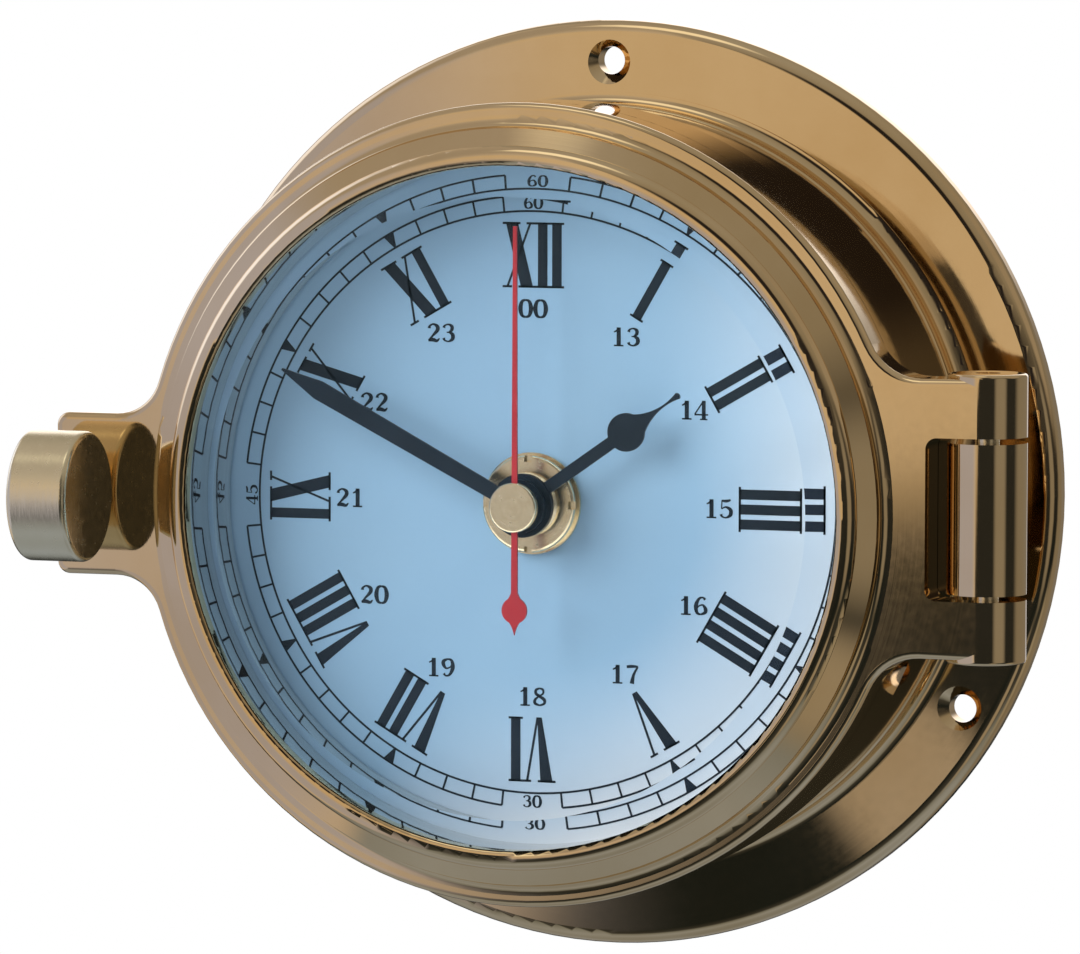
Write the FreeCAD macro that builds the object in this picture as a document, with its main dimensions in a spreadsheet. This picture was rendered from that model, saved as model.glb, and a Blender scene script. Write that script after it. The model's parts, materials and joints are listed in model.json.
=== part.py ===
"""Ship's deck clock: a brass bulkhead clock with a hinged bezel and a quartz movement.

Row frame: X to the right, Y into the bulkhead, Z up, origin at the centre of the flange's back face.
Each body is drawn in the clock's own bench frame (x right, y up, z out of the bulkhead), so a depth
in the sheet is a height above the back face; CLOCK_FRAME turns that frame to the row frame.
"""
import FreeCAD, Part
import math
import os
import re

import Sketcher

CLOCK_FRAME = FreeCAD.Placement(FreeCAD.Vector(0, 0, 0), FreeCAD.Rotation(FreeCAD.Vector(1, 0, 0), 90))
OUT_OF_WALL = FreeCAD.Vector(0, 0, 1)
TOUCHING = 1e-4
CLOSE = 0.01
NEAR = 0.05
BESIDE = 0.2

# Driving dimensions, in millimetres, degrees and counts.
DIMENSIONS = """
flange_radius 60
flange_bore 44
flange_depth 4
flange_round 1.9
flange_dish 0.63
overrun 1
screw_circle 54.8
screw_hole 1.8
countersink 3.25
screw_count 3
screw_fit 0.1
cover_radius 47
cover_fit 0.15
cover_depth 1.2
cover_screw_circle 45.3
cover_screw_shank 0.9
cover_screw_head 1.7
cover_screw_length 3.2
cover_turn 60
drum_radius 49.2
drum_wall 1.7
drum_depth 24
drum_cove 1.6
drum_foot 0.4
drum_bead 0.5
bead_round 0.625
bead_height 8.5
collar_radius 50.3
collar_bore 43.6
collar_step 46.6
collar_edge 0.6
arm_bite 1.5
latch_bite 1.2
latch_root 5
seam_depth 34
seam_gap 0.15
gasket_inner 47.3
gasket_outer 49
gasket_groove 1
gasket_fit 0.05
gasket_proud 0.1
dial_radius 46.3
dial_front 32.5
dial_sheet 0.8
dial_screw_circle 44.6
dial_screw_shank 0.7
dial_screw_head 1.3
dial_screw_cheese 0.8
dial_screw_hole 3.4
dial_screw_length 3.1
hinge_reach 59.2
hinge_depth 35
knuckle_radius 4.95
knuckle_half 9.3
notch_half 10
notch_reach 52.7
notch_round 1.4
lug_half 17.2
barrel_half 17.8
lug_root 7
ring_bite 4.3
pin_radius 1.5
pin_clearance 0.05
pin_inset 0.3
ledge_depth 39.95
ledge_radius 48.8
ledge_round 0.9
cove_round 1.6
cone_radius 47.2
cone_back 42
bead_foot 45.1
bead_step 43.3
bead_side 43.55
crown_radius 43.2
crown_round 1.7
bezel_front 44.7
lip_bore 42.6
lip_ease 0.6
lip_under 42.7
glass_seat 45.1
tab_reach 62
tab_half 10.3
tab_root 6
tab_round 1.6
latch_back 26
latch_half 9.6
latch_bore 2.4
neck_hole 1.65
screw_pocket 2.4
screw_pocket_depth 4.8
glass_radius 44.8
glass_back 41
glass_front 44.4
glass_rim 42
glass_land 43.8
bevel_radius 38.8
glass_gasket_inner 43.1
glass_gasket_clear 0.02
reflector_outer 44.9
reflector_tail 42.6
reflector_base 40.5
reflector_mouth 43.2
reflector_back 32.95
reflector_ease 0.6
snap_groove 45.9
snap_wire 0.5
snap_fit 0.05
snap_gap 1.5
snap_depth 34.85
reflector_shoulder 35.4
thumb_reach 58
thumb_lift 0.4
thumb_radius 8.25
thumb_width 8
thumb_round 0.7
thumb_gap 0.2
thumb_socket 4
shank_neck 1.4
shank_thread 2
shank_fit 0.05
shank_tip 28.2
shank_shoulder 33.6
thread_pitch 0.7
thread_groove 0.22
thread_turns 6
thread_runout 0.3
shank_ease 0.5
socket_end 0.3
movement_half 28
movement_front 31
movement_back 15
lid_depth 17
case_wall 1.2
bay_wall 12.6
bay_floor 26.8
lid_lap 1
battery_radius 7.05
battery_length 49.2
battery_drop 19.7
battery_depth 22.6
battery_round 0.6
nub_radius 2.6
nub_length 1
contact_sheet 0.3
contact_half 5
bush_radius 4
bush_bore 2.62
bush_collar 5.2
bush_front 35.2
bush_flange 0.4
bush_ease 0.3
bush_fit 0.1
washer_radius 6.4
washer_depth 0.5
nut_radius 6.1
nut_depth 1.4
nut_round 0.4
slot_start 5.3
slot_half 0.5
slot_depth 0.6
rubber_radius 11
hour_pipe 2.55
hour_bore 1.72
hour_front 37.1
minute_pipe 1.6
minute_bore 0.7
minute_front 38.6
minute_tail 25.5
arbor_radius 0.6
arbor_front 40.2
pivot_radius 0.4
pivot_fit 0.06
pivot_back 1.2
pivot_front 0.4
pivot_hole_back 1.5
pivot_hole_front 0.8
pivot_hole_start 0.1
arbor_clear 0.3
hour_hub 4
hour_hand_back 36.1
hour_hand_sheet 0.9
hour_shank 0.78
hour_bulb 2.4
hour_bulb_reach 16.6
shoulder_across 0.93
shoulder_along 0.36
hour_hollow 7.5
hour_tip 24.8
hour_tip_width 0.42
hour_angle 55
minute_hub 3.4
minute_hand_back 37.6
minute_hand_sheet 0.8
minute_root 0.95
minute_widest 1.2
minute_taper 30
minute_tip 35.5
minute_tip_width 0.12
minute_angle 297.6
second_hand_back 39.3
second_hand_sheet 0.35
second_hub 1.7
second_root 0.42
second_tip_width 0.24
second_tip 35
second_tail 16
second_bulge 1.65
second_bulge_reach 12.9
bulge_root 2.2
bulge_hollow 4
cap_radius 3.1
cap_front 40.55
cap_round 0.25
train_module 0.3
seconds_module 0.42
third_module 0.28333
hour_module 0.288
tooth_foot 1.15
tooth_top 0.8
tooth_root_half 0.68
tooth_tip_half 0.24
tooth_bite 0.1
rotor_leaves 8
step_teeth 48
step_leaves 8
second_teeth 40
second_leaves 8
third_teeth 60
third_leaves 8
minute_teeth 64
cannon_teeth 12
motion_teeth 36
motion_leaves 10
hour_teeth 40
setting_teeth 12
wheel_sheet 0.8
pinion_face 1.1
pinion_lap 0.1
tall_pinion 1.9
third_pinion 1.7
cannon_face 1.5
motion_face 1.3
step_direction 130
rotor_direction 120
third_direction 0
motion_direction 200
hour_wheel_depth 28.4
motion_wheel_depth 27.2
minute_wheel_depth 25.9
third_wheel_depth 24.3
second_wheel_depth 22.6
step_wheel_depth 20.8
post_radius 0.5
rotor_post 1
stud_radius 0.6
stud_proud 0.2
magnet_radius 3
magnet_back 17.9
magnet_front 20
stator_hole 3.5
stator_back 18.6
stator_sheet 1
stator_left 22
stator_right 4.5
stator_low 9
stator_high 21.5
rest_left 24
rest_right 17
rest_drop 4
core_sheet 1.2
core_half 1.4
core_height 18
core_left 1
core_tail 3
coil_left 6
coil_right 22
coil_radius 2.6
flange_coil 3
cheek_sheet 1
board_left 12.5
board_right 26
board_low -10.5
board_high 12.5
board_back 18
board_sheet 0.8
board_post 1
board_post_inset 2
tube_wall 0.3
chip_radius 2.3
chip_height 0.8
chip_inset 6
crystal_radius 1
crystal_length 6
crystal_inset 4
stem_radius 0.9
knob_radius 4.5
knob_back 11.5
knob_depth 3
knob_flutes 12
flute_radius 0.5
"""

doc = FreeCAD.newDocument("deck_clock")
sizes = doc.addObject("Spreadsheet::Sheet", "Sizes")
ALIASES = []
for row, line in enumerate(DIMENSIONS.split("\n")[1:-1], start=1):
    alias, number = line.split()
    sizes.set(f"A{row}", alias)
    sizes.set(f"B{row}", number)
    sizes.setAlias(f"B{row}", alias)
    ALIASES.append(alias)
doc.recompute()


def linked(formula):
    """The formula with each dimension's name pointed at the sheet."""
    return re.sub(r"[a-z_]{3,}", lambda word: "Sizes." + word[0] if word[0] in ALIASES else word[0], formula)


def value(formula):
    """The formula's present value as a plain number."""
    return float(sizes.evalExpression(linked(formula)))


def bind(item, field, formula):
    item.setExpression(field, linked(formula))


# ---- Sketches and features ----------------------------------------------------------------------

def new_body(label, offset=FreeCAD.Placement()):
    """A body in the clock's bench frame, moved by an offset given in that frame."""
    body = doc.addObject("PartDesign::Body", label)
    body.Label = label
    body.Placement = CLOCK_FRAME.multiply(offset)
    return body


def new_sketch(body, plane, depth="0", turn=0):
    """A sketch on one of the body's own planes: depth moves it along the plane's normal."""
    sketch = body.newObject("Sketcher::SketchObject", body.Name + "_sketch")
    support = next(part for part in body.Origin.OriginFeatures if part.Role == plane)
    sketch.AttachmentSupport = [(support, "")]
    sketch.MapMode = "FlatFace"
    sketch.AttachmentOffset = FreeCAD.Placement(
        FreeCAD.Vector(0, 0, value(depth)), FreeCAD.Rotation(OUT_OF_WALL, turn))
    bind(sketch, "AttachmentOffset.Base.z", depth)
    return sketch


def arc_through(start, end, radius):
    """An arc from start to end, bulging left of the way when the radius is positive."""
    chord = end - start
    middle = (start + end) * 0.5
    left = FreeCAD.Vector(-chord.y, chord.x, 0).normalize()
    rise = abs(radius) - math.sqrt(radius ** 2 - (chord.Length / 2) ** 2)
    crown = middle + left * (rise if radius > 0 else -rise)
    return Part.Arc(start, crown, end)


def draw_outline(sketch, corners):
    """A closed outline. A corner is (x, y), or (x, y, radius) when an arc leads to the next one."""
    first = sketch.GeometryCount
    count = len(corners)
    places = [FreeCAD.Vector(value(corner[0]), value(corner[1]), 0) for corner in corners]
    ends = []
    for index, corner in enumerate(corners):
        start, end = places[index], places[(index + 1) % count]
        if len(corner) == 2:
            sketch.addGeometry(Part.LineSegment(start, end), False)
            ends.append((1, 2))
            continue
        arc = arc_through(start, end, value(corner[2]))
        sketch.addGeometry(arc, False)
        forward = sketch.getPoint(first + index, 1).distanceToPoint(start) < TOUCHING
        ends.append((1, 2) if forward else (2, 1))
    for index in range(count):
        following = (index + 1) % count
        sketch.addConstraint(Sketcher.Constraint(
            "Coincident", first + index, ends[index][1], first + following, ends[following][0]))
    for index, corner in enumerate(corners):
        for kind, formula in (("DistanceX", corner[0]), ("DistanceY", corner[1])):
            number = sketch.addConstraint(Sketcher.Constraint(
                kind, -1, 1, first + index, ends[index][0], value(formula)))
            bind(sketch, f"Constraints[{number}]", formula)
        if len(corner) == 3:
            number = sketch.addConstraint(Sketcher.Constraint("Radius", first + index, abs(value(corner[2]))))
            bind(sketch, f"Constraints[{number}]", f"abs({corner[2]})")


def draw_box(sketch, left, low, right, high):
    draw_outline(sketch, [(left, low), (right, low), (right, high), (left, high)])


def draw_circle(sketch, radius, across="0", along="0"):
    place = FreeCAD.Vector(value(across), value(along), 0)
    ring = sketch.addGeometry(Part.Circle(place, OUT_OF_WALL, value(radius)), False)
    for kind, formula in (("DistanceX", across), ("DistanceY", along)):
        number = sketch.addConstraint(Sketcher.Constraint(kind, -1, 1, ring, 3, value(formula)))
        bind(sketch, f"Constraints[{number}]", formula)
    number = sketch.addConstraint(Sketcher.Constraint("Radius", ring, value(radius)))
    bind(sketch, f"Constraints[{number}]", radius)


def pad(body, sketch, length, symmetric=False):
    feature = body.newObject("PartDesign::Pad", body.Name + "_pad")
    feature.Profile = sketch
    bind(feature, "Length", length)
    if symmetric:
        feature.SideType = "Symmetric"
    return feature


def pocket(body, sketch, length, reversed_cut=False, symmetric=False):
    """A cut against the sketch's normal, or along it when reversed."""
    feature = body.newObject("PartDesign::Pocket", body.Name + "_pocket")
    feature.Profile = sketch
    bind(feature, "Length", length)
    feature.Reversed = reversed_cut
    if symmetric:
        feature.SideType = "Symmetric"
    return feature


def turned(body, corners, kind="PartDesign::Revolution", axis="V_Axis"):
    """Turn an outline of (radius, depth) corners about the clock's axis."""
    sketch = new_sketch(body, "XZ_Plane")
    draw_outline(sketch, corners)
    feature = body.newObject(kind, body.Name + "_turned")
    feature.Profile = sketch
    feature.ReferenceAxis = (sketch, [axis])
    feature.Angle = 360
    return feature


def turned_ring(label, corners, offset=FreeCAD.Placement()):
    body = new_body(label, offset)
    turned(body, corners)
    return body


def ring_section(inner, outer, back, front):
    return [(inner, back), (outer, back), (outer, front), (inner, front)]


def around(body, feature, count):
    """Repeat a feature evenly about the clock's axis."""
    pattern = body.newObject("PartDesign::PolarPattern", body.Name + "_pattern")
    pattern.Originals = [feature]
    axis = next(part for part in body.Origin.OriginFeatures if part.Role == "Z_Axis")
    pattern.Axis = (axis, [""])
    pattern.Angle = 360
    bind(pattern, "Occurrences", count)
    body.Tip = pattern
    return pattern


def rounded(body, radius, wanted):
    """Round the edges that the test picks out by their box and kind."""
    doc.recompute()
    base = body.Tip
    names = []
    for number, edge in enumerate(base.Shape.Edges, start=1):
        if wanted(edge, edge.BoundBox):
            names.append(f"Edge{number}")
    if not names:
        raise RuntimeError(f"{body.Label}: no edge to round")
    fillet = body.newObject("PartDesign::Fillet", body.Name + "_round")
    fillet.Base = (base, names)
    bind(fillet, "Radius", radius)
    body.Tip = fillet
    return fillet


# ---- Case ---------------------------------------------------------------------------------------

def mounting_flange():
    """Base ring for the three bulkhead screws: a little dished, its back recessed for the cover."""
    body = new_body("mounting_flange")
    turned(body, [
        ("flange_bore", "cover_depth + cover_fit"),
        ("cover_radius + cover_fit", "cover_depth + cover_fit"),
        ("cover_radius + cover_fit", "0"),
        ("flange_radius", "0"),
        ("flange_radius", "flange_depth - flange_dish - flange_round", "-flange_round"),
        ("flange_radius - flange_round", "flange_depth - flange_dish"),
        ("drum_radius", "flange_depth"),
        ("flange_bore", "flange_depth")])
    doc.recompute()
    sketch = new_sketch(body, "XY_Plane", "flange_depth")
    draw_circle(sketch, "screw_hole", "0", "screw_circle")
    hole = body.newObject("PartDesign::Hole", "bulkhead_hole")
    hole.Profile = sketch
    doc.recompute()
    hole.DepthType = "ThroughAll"
    hole.Threaded = False
    hole.HoleCutType = "Countersink"
    hole.HoleCutCustomValues = True
    bind(hole, "Diameter", "2 * screw_hole")
    bind(hole, "HoleCutDiameter", "2 * countersink")
    hole.HoleCutCountersinkAngle = 90
    around(body, hole, "screw_count")
    seat = new_sketch(body, "XY_Plane", "0", value("cover_turn"))
    draw_circle(seat, "cover_screw_shank", "0", "cover_screw_circle")
    around(body, pocket(body, seat, "cover_screw_length", True), "screw_count")


def case_drum():
    """Spun tube that stands on the flange, with a cove at its foot and a thin bead round it."""
    turned_ring("case_drum", [
        ("drum_radius - drum_wall", "flange_depth"),
        ("drum_radius + drum_cove", "flange_depth"),
        ("drum_radius + drum_cove", "flange_depth + drum_foot", "drum_cove"),
        ("drum_radius", "flange_depth + drum_foot + drum_cove"),
        ("drum_radius", "bead_height - drum_bead", "-bead_round"),
        ("drum_radius", "bead_height + drum_bead"),
        ("drum_radius", "drum_depth"),
        ("drum_radius - drum_wall", "drum_depth")])


def case_collar():
    """Front ring of the case: it seats the dial, and carries the hinge knuckle and the latch lug."""
    body = new_body("case_collar")
    turned(body, [
        ("collar_bore", "drum_depth"),
        ("collar_radius - collar_edge", "drum_depth"),
        ("collar_radius", "drum_depth + collar_edge"),
        ("collar_radius", "seam_depth"),
        ("collar_step", "seam_depth"),
        ("collar_step", "dial_front - dial_sheet"),
        ("collar_bore", "dial_front - dial_sheet")])
    arm = new_sketch(body, "XY_Plane", "hinge_depth - knuckle_radius")
    draw_box(arm, "collar_radius - arm_bite", "-knuckle_half", "hinge_reach", "knuckle_half")
    pad(body, arm, "seam_depth - hinge_depth + knuckle_radius")
    lug = new_sketch(body, "XY_Plane", "latch_back")
    draw_box(lug, "-tab_reach", "-latch_half", "latch_bite - drum_radius", "latch_half")
    pad(body, lug, "seam_depth - latch_back")
    doc.recompute()

    def lug_root(edge, box):
        upright = box.ZLength > 5 and box.XLength < CLOSE and box.YLength < CLOSE
        reach = math.hypot(box.XMin, box.YMin)
        return upright and box.XMin < 0 and abs(reach - value("collar_radius")) < NEAR
    rounded(body, "latch_root", lug_root)

    def lug_edge(edge, box):
        """Outer corners of the latch lug and its back edges."""
        if box.XMax > -value("collar_radius") or box.ZLength > 9 or box.XLength + box.YLength > 25:
            return False
        corner = box.ZLength > 5 and box.XMax < 0.5 - value("tab_reach")
        back = box.ZMax < value("latch_back") + CLOSE and box.YLength > 5
        return corner or back
    rounded(body, "tab_round", lug_edge)
    barrel = new_sketch(body, "XZ_Plane")
    draw_circle(barrel, "knuckle_radius", "hinge_reach", "hinge_depth")
    pad(body, barrel, "2 * knuckle_half", True)
    bore = new_sketch(body, "XZ_Plane")
    draw_circle(bore, "pin_radius + pin_clearance", "hinge_reach", "hinge_depth")
    pocket(body, bore, "3 * knuckle_half", symmetric=True)
    tapped = new_sketch(body, "XY_Plane", "latch_back - overrun")
    draw_circle(tapped, "latch_bore", "-thumb_reach", "thumb_lift")
    pocket(body, tapped, "seam_depth", True)
    screws = new_sketch(body, "XY_Plane", "dial_front")
    draw_circle(screws, "dial_screw_shank", "0", "dial_screw_circle")
    around(body, pocket(body, screws, "dial_screw_hole"), "screw_count")
    turned(body, ring_section("gasket_inner", "gasket_outer", "seam_depth - gasket_groove", "seam_depth + overrun"),
           "PartDesign::Groove")


def case_gasket():
    turned_ring("case_gasket", ring_section(
        "gasket_inner + gasket_fit", "gasket_outer - gasket_fit",
        "seam_depth - gasket_groove", "seam_depth + gasket_proud"))


def screw_group(label, circle, turn, profile):
    """Three like screws as one group of separate solids, spaced evenly round the clock's axis."""
    single = turned_ring(label + "_single", profile)
    doc.recompute()
    solids = []
    for step in range(int(value("screw_count"))):
        copy = single.Shape.copy()
        swing = FreeCAD.Rotation(OUT_OF_WALL, turn + step * 360 / value("screw_count"))
        copy.Placement = FreeCAD.Placement(swing.multVec(FreeCAD.Vector(0, value(circle), 0)), swing)
        solids.append(copy)
    group = doc.addObject("Part::Feature", label)
    group.Label = label
    group.Shape = Part.makeCompound(solids)
    group.Placement = CLOCK_FRAME
    single.Label = label + "_pattern_piece"
    HELPERS.append(single)


def rear_cover():
    body = new_body("rear_cover")
    turned(body, [
        ("0", "0"), ("cover_radius", "0"), ("cover_radius", "cover_depth"), ("0", "cover_depth")])
    seat = new_sketch(body, "XY_Plane", "0", value("cover_turn"))
    draw_circle(seat, "cover_screw_head + screw_fit", "0", "cover_screw_circle")
    around(body, pocket(body, seat, "cover_depth", True), "screw_count")


def rear_cover_screws():
    """Flat-headed screws that clamp the rear cover in its recess."""
    screw_group("rear_cover_screws", "cover_screw_circle", value("cover_turn"), [
        ("0", "0"),
        ("cover_screw_head", "0"),
        ("cover_screw_head", "cover_depth + cover_fit"),
        ("cover_screw_shank", "cover_depth + cover_fit"),
        ("cover_screw_shank", "cover_screw_length"),
        ("0", "cover_screw_length")])


# ---- Bezel --------------------------------------------------------------------------------------

def bezel_ring():
    """Hinged front ring: glass seat, cone and bead, hinge lugs on the right, clamp tab on the left."""
    body = new_body("bezel_ring")
    turned(body, [
        ("glass_seat", "seam_depth + seam_gap"),
        ("collar_radius", "seam_depth + seam_gap"),
        ("collar_radius", "ledge_depth"),
        ("ledge_radius", "ledge_depth", "cove_round"),
        ("cone_radius", "cone_back"),
        ("bead_foot", "bead_step"),
        ("bead_foot", "bead_side", "-crown_round"),
        ("crown_radius", "bezel_front", "-lip_ease"),
        ("lip_bore", "bezel_front - lip_ease"),
        ("lip_bore", "lip_under"),
        ("glass_seat", "lip_under")])
    lug = new_sketch(body, "XY_Plane", "seam_depth + seam_gap")
    draw_box(lug, "collar_radius - ring_bite", "-lug_half", "hinge_reach", "lug_half")
    pad(body, lug, "ledge_depth - seam_depth - seam_gap")
    tab = new_sketch(body, "XY_Plane", "seam_depth + seam_gap")
    draw_box(tab, "-tab_reach", "-tab_half", "ring_bite - collar_radius", "tab_half")
    pad(body, tab, "ledge_depth - seam_depth - seam_gap")

    def root(side):
        def is_it(edge, box):
            upright = box.ZLength > 4 and box.XLength < CLOSE and box.YLength < CLOSE
            on_ring = abs(math.hypot(box.XMin, box.YMin) - value("collar_radius")) < NEAR
            return upright and on_ring and box.XMin * side > 0
        return is_it
    rounded(body, "lug_root", root(1))
    rounded(body, "tab_root", root(-1))

    def tab_corner(edge, box):
        """Outer end of the tab: its upright corners."""
        return box.ZLength > 4 and box.XMax < CLOSE - value("tab_reach") and box.YLength < CLOSE
    rounded(body, "tab_round", tab_corner)

    def front_edge(edge, box):
        """The whole outer edge of the face that the ledge, lugs and tab share."""
        flush = abs(box.ZMin - value("ledge_depth")) < CLOSE and box.ZLength < CLOSE
        if not flush or box.XMin > value("hinge_reach") - CLOSE:
            return False
        middle = edge.valueAt((edge.FirstParameter + edge.LastParameter) / 2)
        return math.hypot(middle.x, middle.y) > value("ledge_radius") + BESIDE
    rounded(body, "ledge_round", front_edge)
    barrel = new_sketch(body, "XZ_Plane")
    draw_circle(barrel, "knuckle_radius", "hinge_reach", "hinge_depth")
    pad(body, barrel, "2 * barrel_half", True)

    def barrel_end(edge, box):
        return box.YLength < CLOSE and abs(abs(box.YMin) - value("barrel_half")) < CLOSE
    rounded(body, "ledge_round / 2", barrel_end)
    notch = new_sketch(body, "XY_Plane", "hinge_depth - 2 * knuckle_radius")
    draw_box(notch, "notch_reach", "-notch_half", "notch_reach + 4 * knuckle_radius", "notch_half")
    pocket(body, notch, "4 * knuckle_radius", True)

    def notch_corner(edge, box):
        return box.ZLength > 3 and abs(box.XMin - value("notch_reach")) < CLOSE and box.YLength < CLOSE
    rounded(body, "notch_round", notch_corner)
    bore = new_sketch(body, "XZ_Plane")
    draw_circle(bore, "pin_radius + pin_clearance", "hinge_reach", "hinge_depth")
    pocket(body, bore, "3 * barrel_half", symmetric=True)
    neck = new_sketch(body, "XY_Plane", "seam_depth")
    draw_circle(neck, "neck_hole", "-thumb_reach", "thumb_lift")
    pocket(body, neck, "bezel_front - seam_depth", True)
    relief = new_sketch(body, "XY_Plane", "seam_depth")
    draw_circle(relief, "screw_pocket", "-thumb_reach", "thumb_lift")
    pocket(body, relief, "screw_pocket_depth + seam_gap", True)
    turned(body, [
        ("glass_seat - overrun", "snap_depth - snap_wire"), ("snap_groove", "snap_depth - snap_wire"),
        ("snap_groove", "snap_depth + snap_wire"), ("glass_seat - overrun", "snap_depth + snap_wire")],
        "PartDesign::Groove")


def hinge_pin():
    """Straight pin through the lugs and the case knuckle, slightly short of the barrel's ends."""
    body = new_body("hinge_pin")
    sketch = new_sketch(body, "XZ_Plane")
    draw_circle(sketch, "pin_radius", "hinge_reach", "hinge_depth")
    pad(body, sketch, "2 * (barrel_half - pin_inset)", True)

    def pin_end(edge, box):
        return box.YLength < CLOSE
    rounded(body, "pin_radius / 4", pin_end)


def glass_pane():
    """Flat glass with a broad bevel ground on its front edge and a flat land outside it."""
    turned_ring("glass_pane", [
        ("0", "glass_back"), ("glass_radius", "glass_back"), ("glass_radius", "glass_rim"),
        ("glass_land", "glass_rim"), ("bevel_radius", "glass_front"), ("0", "glass_front")])


def glass_gasket():
    """Seal between the glass and the bezel's lip: flat over the land, tapered over the bevel."""
    slope = "(glass_front - glass_rim) / (glass_land - bevel_radius)"
    turned_ring("glass_gasket", [
        ("glass_gasket_inner",
         f"glass_front - (glass_gasket_inner - bevel_radius) * {slope} + glass_gasket_clear"),
        ("glass_land", "glass_rim + glass_gasket_clear"),
        ("glass_radius", "glass_rim + glass_gasket_clear"),
        ("glass_radius", "lip_under"),
        ("glass_gasket_inner", "lip_under")])


def reflector_ring():
    """Bright conical ring that holds the glass and hides the dial's edge."""
    turned_ring("reflector_ring", [
        ("reflector_base", "reflector_back"),
        ("reflector_tail", "reflector_back"),
        ("reflector_tail", "seam_depth"),
        ("reflector_outer - reflector_ease", "reflector_shoulder"),
        ("reflector_outer", "reflector_shoulder"),
        ("reflector_outer", "glass_back"),
        ("reflector_mouth", "glass_back")])


def snap_ring():
    """Round wire ring sprung into the bezel's groove behind the reflector ring."""
    body = new_body("snap_ring")
    sketch = new_sketch(body, "XZ_Plane")
    draw_circle(sketch, "snap_wire - snap_fit", "glass_seat", "snap_depth")
    ring = body.newObject("PartDesign::Revolution", "snap_wire_turned")
    ring.Profile = sketch
    ring.ReferenceAxis = (sketch, ["V_Axis"])
    ring.Angle = 360
    gap = new_sketch(body, "XY_Plane", "snap_depth - overrun")
    draw_box(gap, "-snap_gap", "glass_seat - 2 * overrun", "snap_gap", "glass_seat + 2 * overrun")
    pocket(body, gap, "2 * overrun", True)


# ---- Thumbscrew ---------------------------------------------------------------------------------

def thumb_place():
    return FreeCAD.Placement(
        FreeCAD.Vector(-value("thumb_reach"), value("thumb_lift"), 0), FreeCAD.Rotation())


def thumbscrew_head():
    """Short drum on its side, tangent to the tab, with a blind socket for the shank."""
    body = new_body("thumbscrew_head", thumb_place())
    centre = "ledge_depth + thumb_gap + thumb_radius"
    sketch = new_sketch(body, "YZ_Plane")
    draw_circle(sketch, "thumb_radius", "0", centre)
    pad(body, sketch, "thumb_width", True)

    def face_edge(edge, box):
        return box.XLength < CLOSE
    rounded(body, "thumb_round", face_edge)
    socket = new_sketch(body, "XY_Plane", "ledge_depth")
    draw_circle(socket, "shank_neck + shank_fit", "0", "0")
    pocket(body, socket, "thumb_gap + thumb_socket", True)


def thumbscrew_shank():
    """Captive screw: a thin neck through the tab, and a thicker threaded end in the latch lug."""
    profile = [
        ("0", "shank_tip"),
        ("shank_thread - shank_ease", "shank_tip"),
        ("shank_thread", "shank_tip + shank_ease")]
    for turn in range(int(value("thread_turns"))):
        foot = f"shank_tip + {turn + 1} * thread_pitch"
        profile.append(("shank_thread", foot))
        profile.append(("shank_thread - thread_groove", f"{foot} + thread_pitch / 2"))
    profile += [
        ("shank_thread", "shank_shoulder - thread_runout"),
        ("shank_thread", "shank_shoulder"),
        ("shank_neck", "shank_shoulder"),
        ("shank_neck", "ledge_depth + thumb_gap + thumb_socket - socket_end"),
        ("0", "ledge_depth + thumb_gap + thumb_socket - socket_end")]
    turned_ring("thumbscrew_shank", profile, thumb_place())


# ---- Dial ---------------------------------------------------------------------------------------

def dial_plate():
    body = turned_ring("dial_plate", ring_section(
        "bush_radius + bush_fit", "dial_radius", "dial_front - dial_sheet", "dial_front"))
    screws = new_sketch(body, "XY_Plane", "dial_front")
    draw_circle(screws, "dial_screw_shank + screw_fit", "0", "dial_screw_circle")
    around(body, pocket(body, screws, "2 * dial_sheet"), "screw_count")


def dial_screws():
    screw_group("dial_screws", "dial_screw_circle", 0, [
        ("0", "dial_front - dial_screw_length"),
        ("dial_screw_shank", "dial_front - dial_screw_length"),
        ("dial_screw_shank", "dial_front"),
        ("dial_screw_head", "dial_front"),
        ("dial_screw_head", "dial_front + dial_screw_cheese"),
        ("0", "dial_front + dial_screw_cheese")])


def threaded_bush():
    """Brass bush that fixes the movement to the dial and guides the hour pipe."""
    turned_ring("threaded_bush", [
        ("bush_bore", "movement_front - case_wall - bush_flange"),
        ("bush_collar", "movement_front - case_wall - bush_flange"),
        ("bush_collar", "movement_front - case_wall"),
        ("bush_radius", "movement_front - case_wall"),
        ("bush_radius", "bush_front - bush_ease"),
        ("bush_radius - bush_ease", "bush_front"),
        ("bush_bore", "bush_front")])


def dial_washer():
    turned_ring("dial_washer", ring_section(
        "bush_radius + bush_fit", "washer_radius", "dial_front", "dial_front + washer_depth"))


def mounting_nut():
    """Round slotted nut that clamps the dial washer."""
    body = turned_ring("mounting_nut", [
        ("bush_radius", "dial_front + washer_depth"),
        ("nut_radius", "dial_front + washer_depth"),
        ("nut_radius", "dial_front + washer_depth + nut_depth - nut_round", "-nut_round"),
        ("nut_radius - nut_round", "dial_front + washer_depth + nut_depth"),
        ("bush_radius", "dial_front + washer_depth + nut_depth")])
    slot = new_sketch(body, "XY_Plane", "dial_front + washer_depth + nut_depth")
    draw_box(slot, "slot_start", "-slot_half", "nut_radius + overrun", "slot_half")
    around(body, pocket(body, slot, "slot_depth"), "4")


def rubber_washer():
    turned_ring("rubber_washer", ring_section(
        "bush_radius + bush_fit", "rubber_radius", "movement_front", "dial_front - dial_sheet"))


# ---- Movement housing ---------------------------------------------------------------------------

def at(direction, distance, origin=(0, 0)):
    """A point of the train, by direction and distance from another point."""
    angle = math.radians(direction)
    return (origin[0] + distance * math.cos(angle), origin[1] + distance * math.sin(angle))


def gear_distance(module, first, second):
    return value(f"{module} * ({first} + {second}) / 2")


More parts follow.
